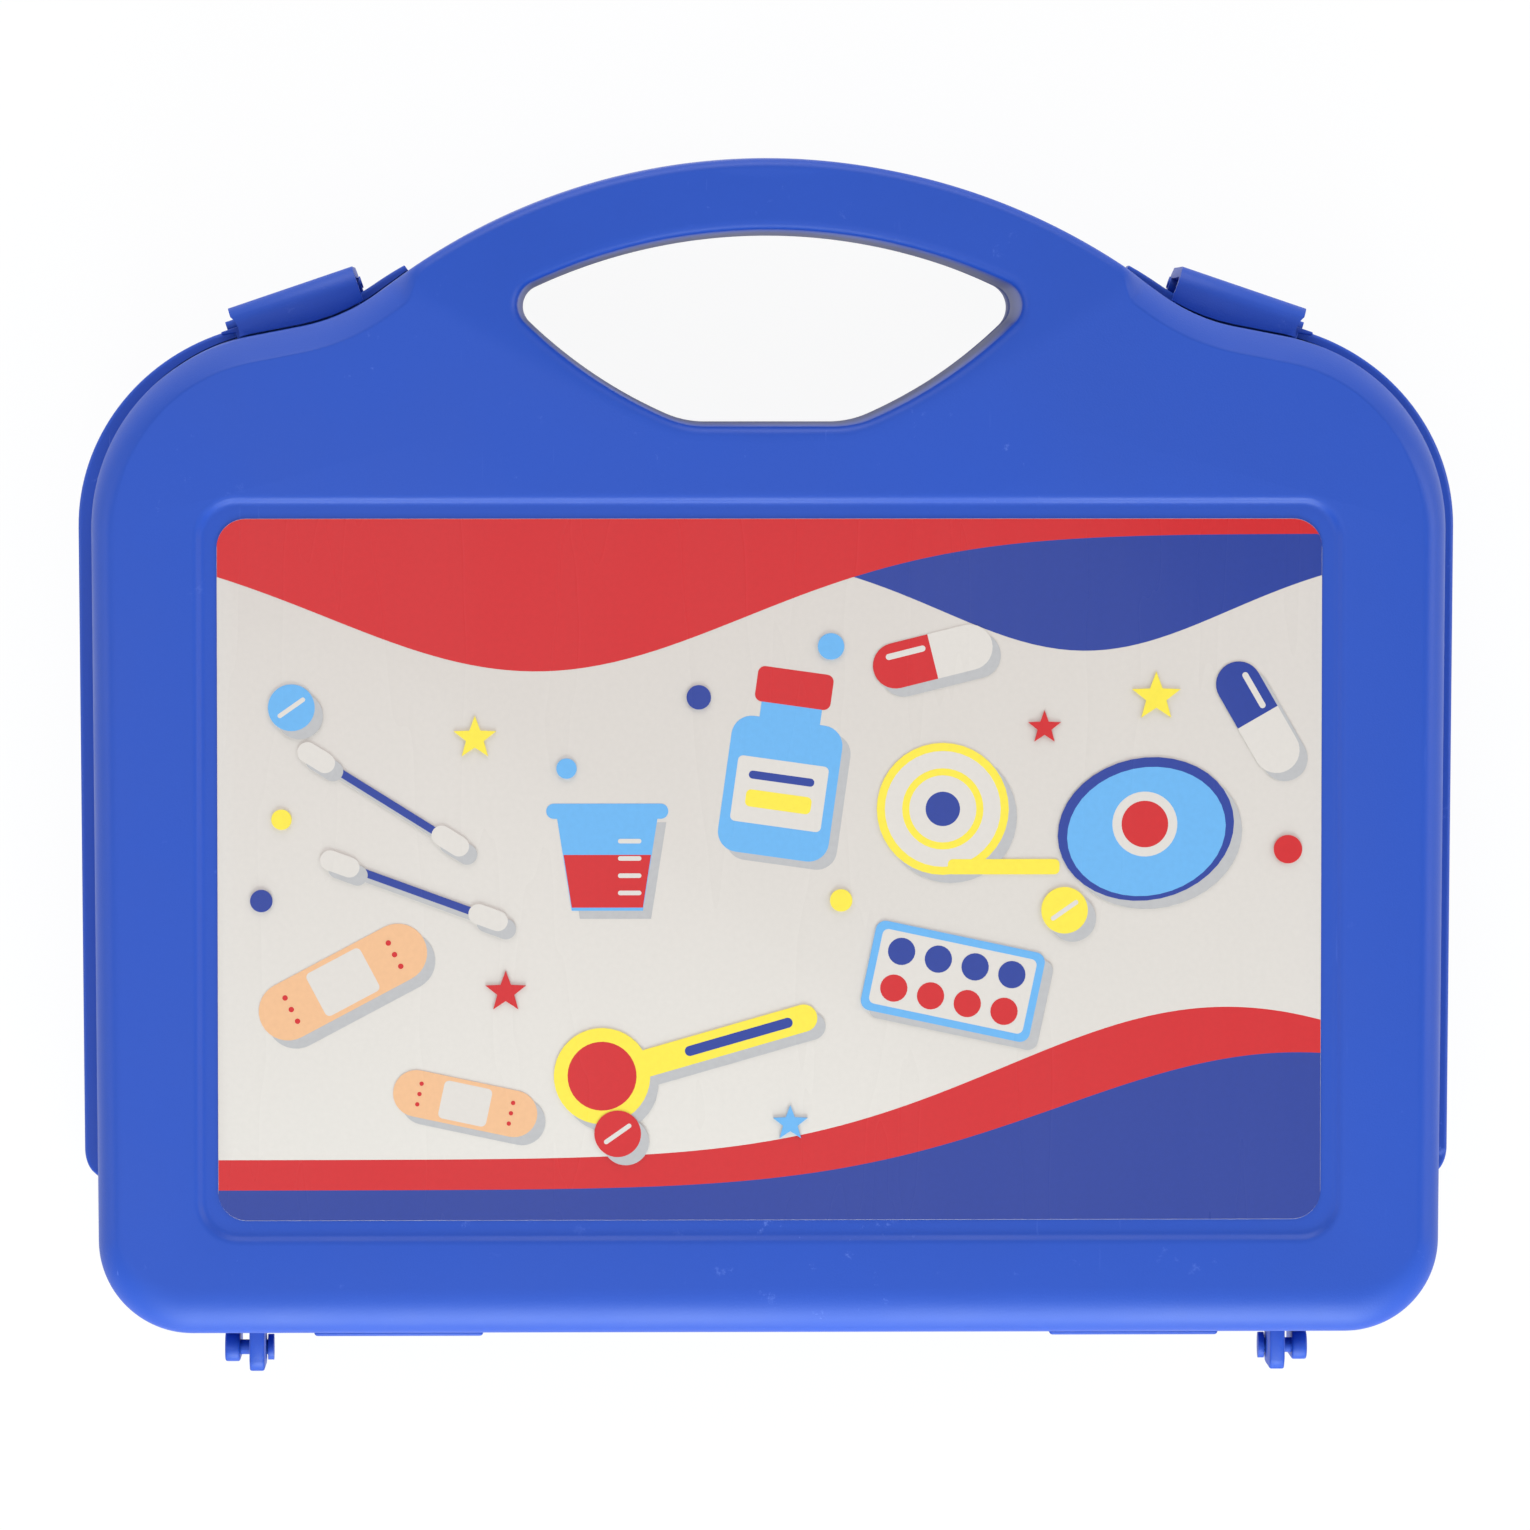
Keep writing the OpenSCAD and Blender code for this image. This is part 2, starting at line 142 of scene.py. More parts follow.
def cosd(a):
    return math.cos(math.radians(a))


def tand(a):
    return math.tan(math.radians(a))


mm = 0.001
body_w = 267
side_h = 159
shell_d = 37
seam_gap = 0.2
wall = 2.4
draft = 1.5
taper = 0.4
bottom_r = 18.5
top_r = 38.2
shoulder_slope = 11
shoulder_len = 10.2
blend_r = 39
root_slope = 36
root_len = 4.6
edge_w = 5
edge_bottom = 4.5
edge_d = 8
edge_flatness = 0.85  # of the bottom edge, which is more a slope than a round
grip_edge = 2
grip_edge_d = 2.5
grip_drop = 8
drop_w = 50
edge_fade = 7
crest_drop = 5.4  # the crest runs this far below the hand hole
crest_flat = 25
crest_round = 20
crest_slope = 33
bend = 4
grip_h = 14
hole_round = 2
hole_crown = 25
ring_reach = 26  # rings round the hand hole reach this far over the face
hinge_y = 6
ear_reach = 4.2
fine = 4  # steps of the outline for one step of the solid model's


def walk(start, stretches):
    """Points (x, y, heading) along straights (length, 0, steps) and arcs (radius, turn, steps)."""
    points = []
    x, y, heading = start
    for size, turn, steps in stretches:
        x0, y0, h0 = x, y, heading
        side = math.copysign(1, turn)
        for j in range(1, steps * fine + 1):
            f = j / (steps * fine)
            heading = h0 + turn * f
            if turn == 0:
                x = x0 + size * f * cosd(h0)
                y = y0 + size * f * sind(h0)
            else:
                x = x0 + side * size * (sind(heading) - sind(h0))
                y = y0 - side * size * (cosd(heading) - cosd(h0))
            points.append((x, y, heading))
    return points


def closed_loop(start, stretches, crown_turn, crown_steps):
    """A loop that is the same left and right: stretches, an arc to the middle, and its mirror."""
    half = walk(start, stretches)
    crown_r = half[-1][0] / sind(crown_turn)
    half += walk(half[-1], [(crown_r, crown_turn, crown_steps)])
    mirrored = [(-x, y, -heading) for x, y, heading in half[-2::-1]]
    return [start] + half + mirrored


foot_x = body_w / 2 - (side_h - bottom_r) * tand(taper)
case_loop = closed_loop(
    (0, 0, 0),
    [
        (foot_x - bottom_r, 0, 6),
        (bottom_r, 90 - taper, 7),
        (side_h - bottom_r, 0, 8),
        (top_r, 90 + taper - shoulder_slope, 9),
        (shoulder_len, 0, 3),
        (blend_r, shoulder_slope - root_slope, 5),
        (root_len, 0, 1),
    ],
    root_slope,
    12,
)
top_y = max(q[1] for q in case_loop)
hole_end = 180 - hole_crown - 24 - 20
hole_stretches = [(12.5, 0, 6), (20, 24, 6), (95, 20, 22), (5, hole_end, 5)]
hole_loop = closed_loop((0, 0, 0), hole_stretches, hole_crown, 12)
hole_y = top_y - grip_h - max(q[1] for q in hole_loop)
hole_loop = [(x, y + hole_y, heading) for x, y, heading in hole_loop]
mid_y = (top_y + (shell_d - edge_d) * tand(draft) - hinge_y - ear_reach) / 2
crest_y = hole_y - crest_drop


def inset(q, d):
    """A point of an outline moved d to the left of its heading."""
    return q[0] - d * sind(q[2]), q[1] + d * cosd(q[2])


def past_crest(x, y):
    """How far a point lies past the crest where the face starts to slope back."""
    u = abs(x) - crest_flat
    return y - crest_y - tand(crest_slope) * (u + math.sqrt(u * u + crest_round**2)) / 2


def face_height(point):
    """Height of the face: flat, then a soft bend and an even slope to the handle's top."""
    t = past_crest(*point)
    run = 0 if t <= 0 else t * t / (2 * bend) if t < bend else t - bend / 2
    return shell_d - grip_drop * min(1, run / drop_w)


def edge_form(q):
    """Width, depth and flatness of the outer edge at a point of the outline."""
    t = min(1, max(0, past_crest(q[0], q[1]) / edge_fade))
    body = 1 - t * t * (3 - 2 * t)
    width = grip_edge + (edge_w - grip_edge + edge_bottom * max(0, cosd(q[2]))) * body
    depth = grip_edge_d + (edge_d - grip_edge_d) * body
    return width, depth, edge_flatness * body * max(0, -cosd(q[2]))


def flare(z):
    return (shell_d - edge_d - z) * tand(draft)


def edge_ring(angle):
    """A ring of the outer edge, from 0 on the wall to 90 on the face."""
    ring = []
    for q in case_loop:
        width, depth, flat = edge_form(q)
        run = (1 - flat) * (1 - cosd(angle)) + flat * angle / 90
        rise = (1 - flat) * sind(angle) + flat * angle / 90
        top = face_height(inset(q, width))
        ring.append((*inset(q, width * run), top - depth + depth * rise))
    return ring


def wall_ring(depth_in, z):
    return [(*inset(q, depth_in - flare(z)), z) for q in case_loop]


def hole_edge(out, down):
    points = [inset(q, -out) for q in hole_loop]
    return [(*p, face_height(p) - down) for p in points]


def hole_wall(out, z):
    return [(*inset(q, flare(z) - out), z) for q in hole_loop]


def face_ring(share, least_edge, out, down):
    """A ring on the face between the hand hole and the outer edge."""
    ring = []
    for q, h in zip(case_loop, hole_loop):
        rim = Vector(inset(q, max(edge_form(q)[0], least_edge)))
        near = Vector(inset(h, -out))
        k = share * min(1, ring_reach / (rim - near).length)
        p = near.lerp(rim, k)
        ring.append((p.x, p.y, face_height(p) - down))
    return ring


def inner_edge(angle):
    ring = []
    for q in case_loop:
        width, depth, flat = edge_form(q)
        width = max(width, wall + 1) - wall
        depth = max(depth - wall, 1)
        top = face_height(inset(q, wall + width)) - wall
        point = inset(q, wall + width * (1 - cosd(angle)))
        ring.append((*point, top - depth + depth * sind(angle)))
    return ring


def face_rim(further_in):
    """A ring on the face just inside the outer edge, which keeps the edge's round small."""
    points = [inset(q, edge_form(q)[0] + further_in) for q in case_loop]
    return [(*p, face_height(p)) for p in points]


def shell_rings(rim):
    """Rings from the seam over the edge, the face and the hand hole, and back inside."""
    soft = 0.35
    rings = [wall_ring(soft, 0), wall_ring(soft * 0.3, soft * 0.3), wall_ring(0, soft)]
    rings += [edge_ring(a) for a in range(0, 91, 6)]
    rings += [face_rim(0.25), face_rim(0.7)]
    rings += [face_ring(1 - k / 20, 0, hole_round, 0) for k in range(2, 20)]
    for a in range(0, 91, 18):
        rings.append(hole_edge(hole_round * (1 - sind(a)), hole_round * (1 - cosd(a))))
    rings += [hole_wall(0, soft), hole_wall(soft, 0), hole_wall(wall, 0), hole_edge(wall, wall)]
    rings += [face_ring(k / 10, wall + 1, wall, wall) for k in range(1, 10)]
    rings += [inner_edge(a) for a in range(90, -1, -15)]
    return rings + rim


def only(piece):
    """Selects one piece and makes it the active one."""
    bpy.ops.object.select_all(action="DESELECT")
    piece.select_set(True)
    bpy.context.view_layer.objects.active = piece


def turn_faces_out(piece):
    """Makes a closed piece's faces point outwards."""
    only(piece)
    bpy.ops.object.mode_set(mode="EDIT")
    bpy.ops.mesh.select_all(action="SELECT")
    bpy.ops.mesh.remove_doubles(threshold=1e-7)
    bpy.ops.mesh.normals_make_consistent(inside=False)
    bpy.ops.object.mode_set(mode="OBJECT")


def from_rings(name, rings, closed_tube):
    """A closed mesh through rings of equal counts. A tube joins its last ring to its first."""
    count = len(rings[0])
    faces = []
    last = len(rings) if closed_tube else len(rings) - 1
    for k in range(last):
        for i in range(count):
            a = k * count + i
            b = k * count + (i + 1) % count
            above = ((k + 1) % len(rings)) * count
            faces.append((a, b, above + (i + 1) % count, above + i))
    if not closed_tube:
        faces.append(tuple(range(count - 1, -1, -1)))
        faces.append(tuple((len(rings) - 1) * count + i for i in range(count)))
    mesh = bpy.data.meshes.new(name)
    mesh.from_pydata([p for ring in rings for p in ring], [], faces)
    piece = bpy.data.objects.new(name, mesh)
    scene.collection.objects.link(piece)
    turn_faces_out(piece)
    return piece


def carve(piece, tool, operation):
    """Cuts a tool out of a piece or joins it on, and removes the tool."""
    only(piece)
    bpy.ops.object.modifier_add(type="BOOLEAN")
    cut = piece.modifiers[-1]
    cut.operation = operation
    cut.solver = "EXACT"
    cut.object = tool
    bpy.ops.object.modifier_apply(modifier=cut.name)
    bpy.data.objects.remove(tool)


def settle(piece, angle=35):
    """Writes a piece's place into its mesh and shades it smooth up to an angle."""
    only(piece)
    bpy.ops.object.transform_apply(location=True, rotation=True, scale=True)
    bpy.ops.object.shade_smooth_by_angle(angle=math.radians(angle))


panel_w = 224
panel_h = 145
panel_y = 92
panel_d = 1.2
panel_r = 7.4
face_top = 2 * shell_d + seam_gap


def rounded_outline(width, height, radius, steps=12):
    """Points of a rectangle with round corners about the origin, counterclockwise."""
    points = []
    for corner, (sx, sy) in enumerate([(1, -1), (1, 1), (-1, 1), (-1, -1)]):
        for k in range(steps + 1):
            a = corner * 90 - 90 + 90 * k / steps
            x = sx * (width / 2 - radius) + radius * cosd(a)
            points.append((x, sy * (height / 2 - radius) + radius * sind(a)))
    return points


def panel_cutter():
    """The tool for the sunk panel: a flat bottom, a hollow foot and a rounded brim."""
    profile = [(-1.3, -panel_d), (-0.8, -1.17), (-0.4, -1.05), (-0.1, -0.85), (0.15, -0.6)]
    profile += [(0.4, -0.36), (0.75, -0.16), (1.15, -0.05), (1.6, 0), (1.7, 0.02), (1.7, 2)]
    rings = []
    for out, z in profile:
        flat = rounded_outline(panel_w + 2 * out, panel_h + 2 * out, panel_r + out)
        rings.append([(x, y + panel_y, shell_d + z) for x, y in flat])
    return from_rings("panel_cutter", rings, False)


def soften(piece, width, angle=40, segments=2):
    """Rounds a piece's sharp edges by a small width."""
    only(piece)
    bpy.ops.object.modifier_add(type="BEVEL")
    bevel = piece.modifiers[-1]
    bevel.width = width
    bevel.segments = segments
    bevel.limit_method = "ANGLE"
    bevel.angle_limit = math.radians(angle)
    bevel.use_clamp_overlap = True
    bpy.ops.object.modifier_apply(modifier=bevel.name)


ear_x = body_w / 2 - 31.5
ear_t = 3
ear_l = 13
ear_corner = 2
front_ear_r = 3.6
pin_r = 1.5
pin_c = 0.05


def hinge_ear(x, bore, ear_r):
    """An ear: round about the hinge line, with an arm up the wall, and bored for the pin."""
    outline = [(-hinge_y + ear_r * cosd(a), ear_r * sind(a)) for a in range(180, 361, 10)]
    outline += [(0.2, 0), (0.2, ear_l), (ear_corner - hinge_y - ear_r, ear_l)]
    outline += [(-hinge_y - ear_r, ear_l - ear_corner)]
    rings = [[(x + out, y, z) for y, z in outline] for out in (-ear_t / 2, ear_t / 2)]
    ear = from_rings("ear", rings, False)
    soften(ear, 0.4, 60)
    bpy.ops.mesh.primitive_cylinder_add(
        vertices=40,
        radius=bore,
        depth=2 * ear_t,
        location=(x, -hinge_y, 0),
        rotation=(0, math.radians(90), 0),
    )
    carve(ear, bpy.context.object, "DIFFERENCE")
    return ear


# A shoulder lies between these two steps of the outline.
shoulder_out = Vector(case_loop[30 * fine][:2])
shoulder_in = Vector(case_loop[38 * fine][:2])
shoulder_run = shoulder_out - shoulder_in
shoulder_tilt = math.atan2(shoulder_run.y, shoulder_run.x)
latch_shift = 3
latch_at = (shoulder_out + shoulder_in) / 2 + shoulder_run.normalized() * latch_shift
catch_t = 4.5
catch_h = 3
catch_sink = 2
catch_z = 12.3
catch_from = -12
catch_to = 13.1
tip_to = 15.9  # the thin tongue ends here, past the latch


def on_shoulder(side, u, v, z):
    """A point u along a shoulder, v away from the case and z up."""
    c, s = math.cos(shoulder_tilt), math.sin(shoulder_tilt)
    return side * (latch_at.x + u * c - v * s), latch_at.y + u * s + v * c, z


def catch(side):
    """The block on the shoulder that a latch hooks over, with a thin tongue past its end."""
    outline = [(catch_from, -catch_sink), (catch_to, -catch_sink), (catch_to, 1.9)]
    outline += [(tip_to, 2.3), (tip_to, catch_h), (catch_from, catch_h)]
    levels = (catch_z - catch_t, catch_z)
    rings = [[on_shoulder(side, u, v, z) for u, v in outline] for z in levels]
    block = from_rings("catch", rings, False)
    soften(block, 0.3, 50, 3)
    return block


rib_t = 1.6
rib_low = 30
rib_foot = 3.4
rib_corner = 5.5  # from the rim to the place where the rib meets the face
into_wall = 0.7 * wall  # the rib's ends and top go this deep into the skin


def root_rib(side):
    """The rib that closes the hollow handle off from the case. Its top follows the skin."""
    root = 39 * fine
    rim = Vector(inset(case_loop[root], into_wall))
    near = Vector(inset(hole_loop[root], -into_wall))
    along_rib = (near - rim).normalized()
    inner = rim + rib_corner * along_rib
    across = Vector((-along_rib.y, along_rib.x)) * rib_t / 2
    inner_top = face_height(inner) - into_wall
    near_top = face_height(near) - into_wall
    rings = []
    for p, top in ((rim, rib_low), (inner, inner_top), (near, near_top)):
        a, b = p + across, p - across
        corners = ((a, rib_foot), (b, rib_foot), (b, top), (a, top))
        rings.append([(side * q.x, q.y, z) for q, z in corners])
    return from_rings("root_rib", rings, False)


rebate_z = 2.7
rebate_in = 1.05
rebate = [wall_ring(wall, rebate_z), wall_ring(rebate_in, rebate_z), wall_ring(rebate_in, 0)]
front_shell = from_rings("front_shell_moulding", shell_rings(rebate), True)
carve(front_shell, panel_cutter(), "DIFFERENCE")
for side in (-1, 1):
    for part in (hinge_ear(side * ear_x, pin_r + pin_c, front_ear_r), catch(side), root_rib(side)):
        carve(front_shell, part, "UNION")
front_shell.location = (0, -mid_y * mm, (shell_d + seam_gap) * mm)
front_shell.scale = (mm, mm, mm)
settle(front_shell, 65)
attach(front_shell, "lid")
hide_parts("front_shell")


# The blue plastic: a fine grain from the mould, faint cloudy colour from the pigment, and
# pale rubbed spots and hair scratches where the case has been handled.
def new_group(name, numbers, colours, outputs):
    """An empty node group with named inputs and outputs."""
    group = bpy.data.node_groups.new(name, "ShaderNodeTree")
    for label, value in numbers.items():
        socket = group.interface.new_socket(label, in_out="INPUT", socket_type="NodeSocketFloat")
        socket.default_value = value
    for label in colours:
        group.interface.new_socket(label, in_out="INPUT", socket_type="NodeSocketColor")
    for label, kind in outputs.items():
        group.interface.new_socket(label, in_out="OUTPUT", socket_type=kind)
    return group


def add_node(tree, kind, **settings):
    """A node with its settings. A setting named in_NAME sets that input's value."""
    node = tree.nodes.new(kind)
    for key, value in settings.items():
        if key.startswith("in_"):
            node.inputs[key[3:].replace("_", " ")].default_value = value
        else:
            setattr(node, key, value)
    return node


moulded = new_group(
    "moulded_skin",
    {"Grain size": 0.35, "Wear": 0.5},
    ["Colour", "Worn colour"],
    {"Colour": "NodeSocketColor", "Roughness": "NodeSocketFloat", "Height": "NodeSocketFloat"},
)
group_in = moulded.nodes.new("NodeGroupInput")
group_out = moulded.nodes.new("NodeGroupOutput")
place = add_node(moulded, "ShaderNodeTexCoord")
link = moulded.links.new
per_grain = add_node(moulded, "ShaderNodeMath", operation="DIVIDE")
per_grain.inputs[0].default_value = 1000
link(group_in.outputs["Grain size"], per_grain.inputs[1])
grain = add_node(moulded, "ShaderNodeTexNoise", in_Detail=3.0, in_Roughness=0.6)
link(place.outputs["Object"], grain.inputs["Vector"])
link(per_grain.outputs[0], grain.inputs["Scale"])
cloud = add_node(moulded, "ShaderNodeTexNoise", in_Scale=22.0, in_Detail=4.0)
link(place.outputs["Object"], cloud.inputs["Vector"])
rub = add_node(moulded, "ShaderNodeTexNoise", in_Scale=160.0, in_Detail=6.0, in_Roughness=0.75)
link(place.outputs["Object"], rub.inputs["Vector"])
rub_spots = add_node(moulded, "ShaderNodeMapRange", in_From_Min=0.63, in_From_Max=0.74)
link(rub.outputs["Fac"], rub_spots.inputs["Value"])
streak_turn = add_node(moulded, "ShaderNodeMapping")
streak_turn.inputs["Rotation"].default_value = (0.2, 0.1, 0.7)
streak_turn.inputs["Scale"].default_value = (1, 0.04, 1)
link(place.outputs["Object"], streak_turn.inputs["Vector"])
streak = add_node(moulded, "ShaderNodeTexNoise", in_Scale=900.0, in_Detail=2.0)
link(streak_turn.outputs["Vector"], streak.inputs["Vector"])
hairs = add_node(moulded, "ShaderNodeMapRange", in_From_Min=0.73, in_From_Max=0.85)
link(streak.outputs["Fac"], hairs.inputs["Value"])
worn = add_node(moulded, "ShaderNodeMath", operation="MAXIMUM")
link(rub_spots.outputs["Result"], worn.inputs[0])
link(hairs.outputs["Result"], worn.inputs[1])
where_worn = add_node(moulded, "ShaderNodeMapRange", in_From_Min=0.48, in_From_Max=0.62)
link(cloud.outputs["Fac"], where_worn.inputs["Value"])
worn_there = add_node(moulded, "ShaderNodeMath", operation="MULTIPLY")
link(worn.outputs[0], worn_there.inputs[0])
link(where_worn.outputs["Result"], worn_there.inputs[1])
wear_share = add_node(moulded, "ShaderNodeMath", operation="MULTIPLY")
link(worn_there.outputs[0], wear_share.inputs[0])
link(group_in.outputs["Wear"], wear_share.inputs[1])
shade = add_node(moulded, "ShaderNodeMapRange", in_To_Min=0.93, in_To_Max=1.07)
link(cloud.outputs["Fac"], shade.inputs["Value"])
tinted = add_node(moulded, "ShaderNodeVectorMath", operation="SCALE")
link(group_in.outputs["Colour"], tinted.inputs[0])
link(shade.outputs["Result"], tinted.inputs["Scale"])
coloured = add_node(moulded, "ShaderNodeMix", data_type="RGBA")
link(wear_share.outputs[0], coloured.inputs["Factor"])
link(tinted.outputs["Vector"], coloured.inputs[6])
link(group_in.outputs["Worn colour"], coloured.inputs[7])
link(coloured.outputs[2], group_out.inputs["Colour"])
rough = add_node(moulded, "ShaderNodeMapRange", in_From_Min=0.3, in_From_Max=0.7)
rough.inputs["To Min"].default_value = 0.40
rough.inputs["To Max"].default_value = 0.52
link(cloud.outputs["Fac"], rough.inputs["Value"])
link(rough.outputs["Result"], group_out.inputs["Roughness"])
link(grain.outputs["Fac"], group_out.inputs["Height"])


def srgb(red, green, blue):
    """A colour given as 0 to 255 on screen, in the linear values that Blender takes."""
    linear = []
    for level in (red, green, blue):
        c = level / 255
        linear.append(c / 12.92 if c <= 0.04045 else ((c + 0.055) / 1.055) ** 2.4)
    return (*linear, 1)


grain_bump = 0.4


def moulded_plastic(name, colour, worn_colour, wear, grain_mm=0.4):
    """A moulded plastic with the grain and wear above."""
    material = bpy.data.materials.new(name)
    material.use_nodes = True
    tree = material.node_tree
    shader = tree.nodes["Principled BSDF"]
    skin = tree.nodes.new("ShaderNodeGroup")
    skin.node_tree = moulded
    skin.inputs["Grain size"].default_value = grain_mm
    skin.inputs["Wear"].default_value = wear
    skin.inputs["Colour"].default_value = colour
    skin.inputs["Worn colour"].default_value = worn_colour
    relief = tree.nodes.new("ShaderNodeBump")
    relief.inputs["Strength"].default_value = grain_bump
    relief.inputs["Distance"].default_value = 0.0001
    tree.links.new(skin.outputs["Height"], relief.inputs["Height"])
    tree.links.new(relief.outputs["Normal"], shader.inputs["Normal"])
    tree.links.new(skin.outputs["Colour"], shader.inputs["Base Color"])
    tree.links.new(skin.outputs["Roughness"], shader.inputs["Roughness"])
    shader.inputs["IOR"].default_value = 1.49
    shader.inputs["Specular IOR Level"].default_value = 0.3
    return material


case_blue = moulded_plastic("case_blue", srgb(27, 69, 167), srgb(106, 134, 218), 0.6)
front_shell.data.materials.append(case_blue)

# ---------------------------------------------------------------- Rear shell
# The back half, moulded like the front one and lying face down. Its rim carries the tongue,
# and the outer lip, the hinge ears and strips, and the lugs of both latches stand on it.
tongue_h = 2.4
tongue_out = 1.35
lip_t = 3.25
lip_over = 5
lip_under = 4.5
lip_c = 0.08
lip_round = 0.8
lip_y = 29
lip_least = 0.8
lip_start_run = 5.5
lip_end_run = 10
lip_narrowing = 0.5
lip_end_share = 0.25  # of its width, which the lip still has at its end
below_seam = 0.3
wall_flare = flare(0)


def lip_line():
    """The outline that the lip follows: up a side, round the corner and along the shoulder."""
    start = (foot_x + (lip_y - bottom_r) * tand(taper), lip_y, 90 - taper)
    side_run = (side_h - lip_y) / cosd(taper)
    stretches = [
        (lip_start_run, 0, 3),
        (side_run - lip_start_run, 0, 8),
        (top_r, 90 + taper - shoulder_slope, 9),
        (shoulder_len, 0, 3),
        (blend_r, shoulder_slope - root_slope, 5),
        (root_len, 0, 2),
        (2.5, 0, 2),
    ]
    return [start] + walk(start, stretches)


def lip_section(stand):
    """Points (in from the outline, above the seam) of the lip's section."""
    middle = lip_round - stand - wall_flare
    low = []
    high = []
    for a in range(0, 91, 18):
        low.append((middle - lip_round * sind(a), lip_round - lip_under - lip_round * cosd(a)))
        high.append((middle - lip_round * cosd(a), lip_over - lip_round + lip_round * sind(a)))
    inside = [(-lip_c - flare(lip_over), lip_over), (-lip_c - wall_flare, -below_seam)]
    root = 0.4 * wall - wall_flare
    return [(root, -lip_under)] + low + high + inside + [(root, -below_seam)]


def lip(side):
    """The band that stands out over the seam. It narrows round the corner to the shoulder."""
    line = lip_line()
    side_run = side_h - lip_y
    corner_run = top_r * math.radians(90 + taper - shoulder_slope)
    run = [0]
    for a, b in zip(line, line[1:]):
        run.append(run[-1] + math.dist(a[:2], b[:2]))
    rings = []
    for q, s in zip(line, run):
        up = min(1, s / lip_start_run)
        down = min(1, lip_end_share + (1 - lip_end_share) * (run[-1] - s) / lip_end_run)
        corner = min(1, max(0, (s - side_run) / corner_run))
        width = lip_t * (1 - lip_narrowing * corner * corner * (3 - 2 * corner))
        stand = width * math.sqrt(1 - (1 - up) ** 2) * math.sqrt(1 - (1 - down) ** 2)
        ring = []
        for depth_in, z in lip_section(max(stand, lip_least)):
            x, y = inset(q, depth_in)
            ring.append((side * x, y, shell_d + z))
        rings.append(ring)
    return from_rings("lip", rings, False)


strip_x = body_w / 2 - 59.5
strip_l = 34


def hinge_strip(side):
    """A low strip on the bottom edge that the lid's edge rests beside."""
    low_y = -lip_t - wall_flare
    high_y = wall / 2
    bpy.ops.mesh.primitive_cube_add(
        size=1,
        location=(side * strip_x, (low_y + high_y) / 2, shell_d - below_seam - lip_under / 2),
        scale=(strip_l, high_y - low_y, lip_under),
    )
    strip = bpy.context.object
    bpy.ops.object.transform_apply(location=True, rotation=True, scale=True)
    soften(strip, 0.7, 60, 4)
    return strip


pin_v = 3.9
pin_drop = 14
pin_z = shell_d + seam_gap / 2 - pin_drop
lug_r = 2.5
lug_w = 4
lug_sink = 2


def latch_lug(side, u):
    """A lug that holds one end of a latch pin."""
    outline = [(lug_r * cosd(a), pin_v + lug_r * sind(a)) for a in range(0, 181, 9)]
    outline += [(-lug_r, -lug_sink), (lug_r, -lug_sink)]
    ends = (u - lug_w / 2, u + lug_w / 2)
    rings = [[on_shoulder(side, end, v, pin_z + z) for z, v in outline] for end in ends]
    lug = from_rings("lug", rings, False)
    soften(lug, 0.3, 60)
    return lug


def turned_over(piece):
    """Turns a piece made for the front half over, for the back half."""
    only(piece)
    piece.scale.z = -1
    piece.location.z = shell_d
    bpy.ops.object.transform_apply(location=True, rotation=True, scale=True)
    turn_faces_out(piece)
    return piece


tongue = [wall_ring(wall, -tongue_h), wall_ring(tongue_out, -tongue_h), wall_ring(tongue_out, 0)]
rear_shell = turned_over(from_rings("rear_shell_moulding", shell_rings(tongue), True))
ear_pitch = 5.3
rear_ear_r = 2.9
lug_u = 8
for side in (-1, 1):
    carve(rear_shell, turned_over(root_rib(side)), "UNION")
    carve(rear_shell, turned_over(hinge_ear(side * (ear_x + ear_pitch), pin_r, rear_ear_r)), "UNION")
    carve(rear_shell, lip(side), "UNION")
    carve(rear_shell, hinge_strip(side), "UNION")
    for u in (-lug_u, lug_u):
        carve(rear_shell, latch_lug(side, u), "UNION")
rear_shell.location = (0, -mid_y * mm, 0)
rear_shell.scale = (mm, mm, mm)
settle(rear_shell, 60)
rear_shell.data.materials.append(case_blue)
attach(rear_shell, "rear")
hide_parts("rear_shell")

# ---------------------------------------------------------------- Label
# A printed card under a glossy clear film, stuck in the sunk panel. Its printing is made
# of thin layers that stand a few thousandths of a millimetre over each other.
label_gap = 3.4
label_t = 0.3
card_w = panel_w - 2 * label_gap
card_h = panel_h - 2 * label_gap
card_r = panel_r - label_gap / 2
card_low = face_top - panel_d
card_top = card_low + label_t
layer = 0.004
bleed = 0.05

film = new_group(
    "clear_film",
    {"Depth of colour": 0.05},
    ["Ink"],
    {"Colour": "NodeSocketColor", "Roughness": "NodeSocketFloat", "Height": "NodeSocketFloat"},
)
group_in = film.nodes.new("NodeGroupInput")
group_out = film.nodes.new("NodeGroupOutput")
link = film.links.new
place = add_node(film, "ShaderNodeTexCoord")
stretch = add_node(film, "ShaderNodeMapping")
stretch.inputs["Scale"].default_value = (1, 0.12, 1)
link(place.outputs["Object"], stretch.inputs["Vector"])
waves = add_node(film, "ShaderNodeTexNoise", in_Scale=55.0, in_Detail=3.0, in_Roughness=0.5)
link(stretch.outputs["Vector"], waves.inputs["Vector"])
press = add_node(film, "ShaderNodeTexNoise", in_Scale=900.0, in_Detail=2.0)
link(place.outputs["Object"], press.inputs["Vector"])
spread = add_node(film, "ShaderNodeMapRange", in_To_Min=-1.0, in_To_Max=1.0)
link(press.outputs["Fac"], spread.inputs["Value"])
strength = add_node(film, "ShaderNodeMath", operation="MULTIPLY_ADD")
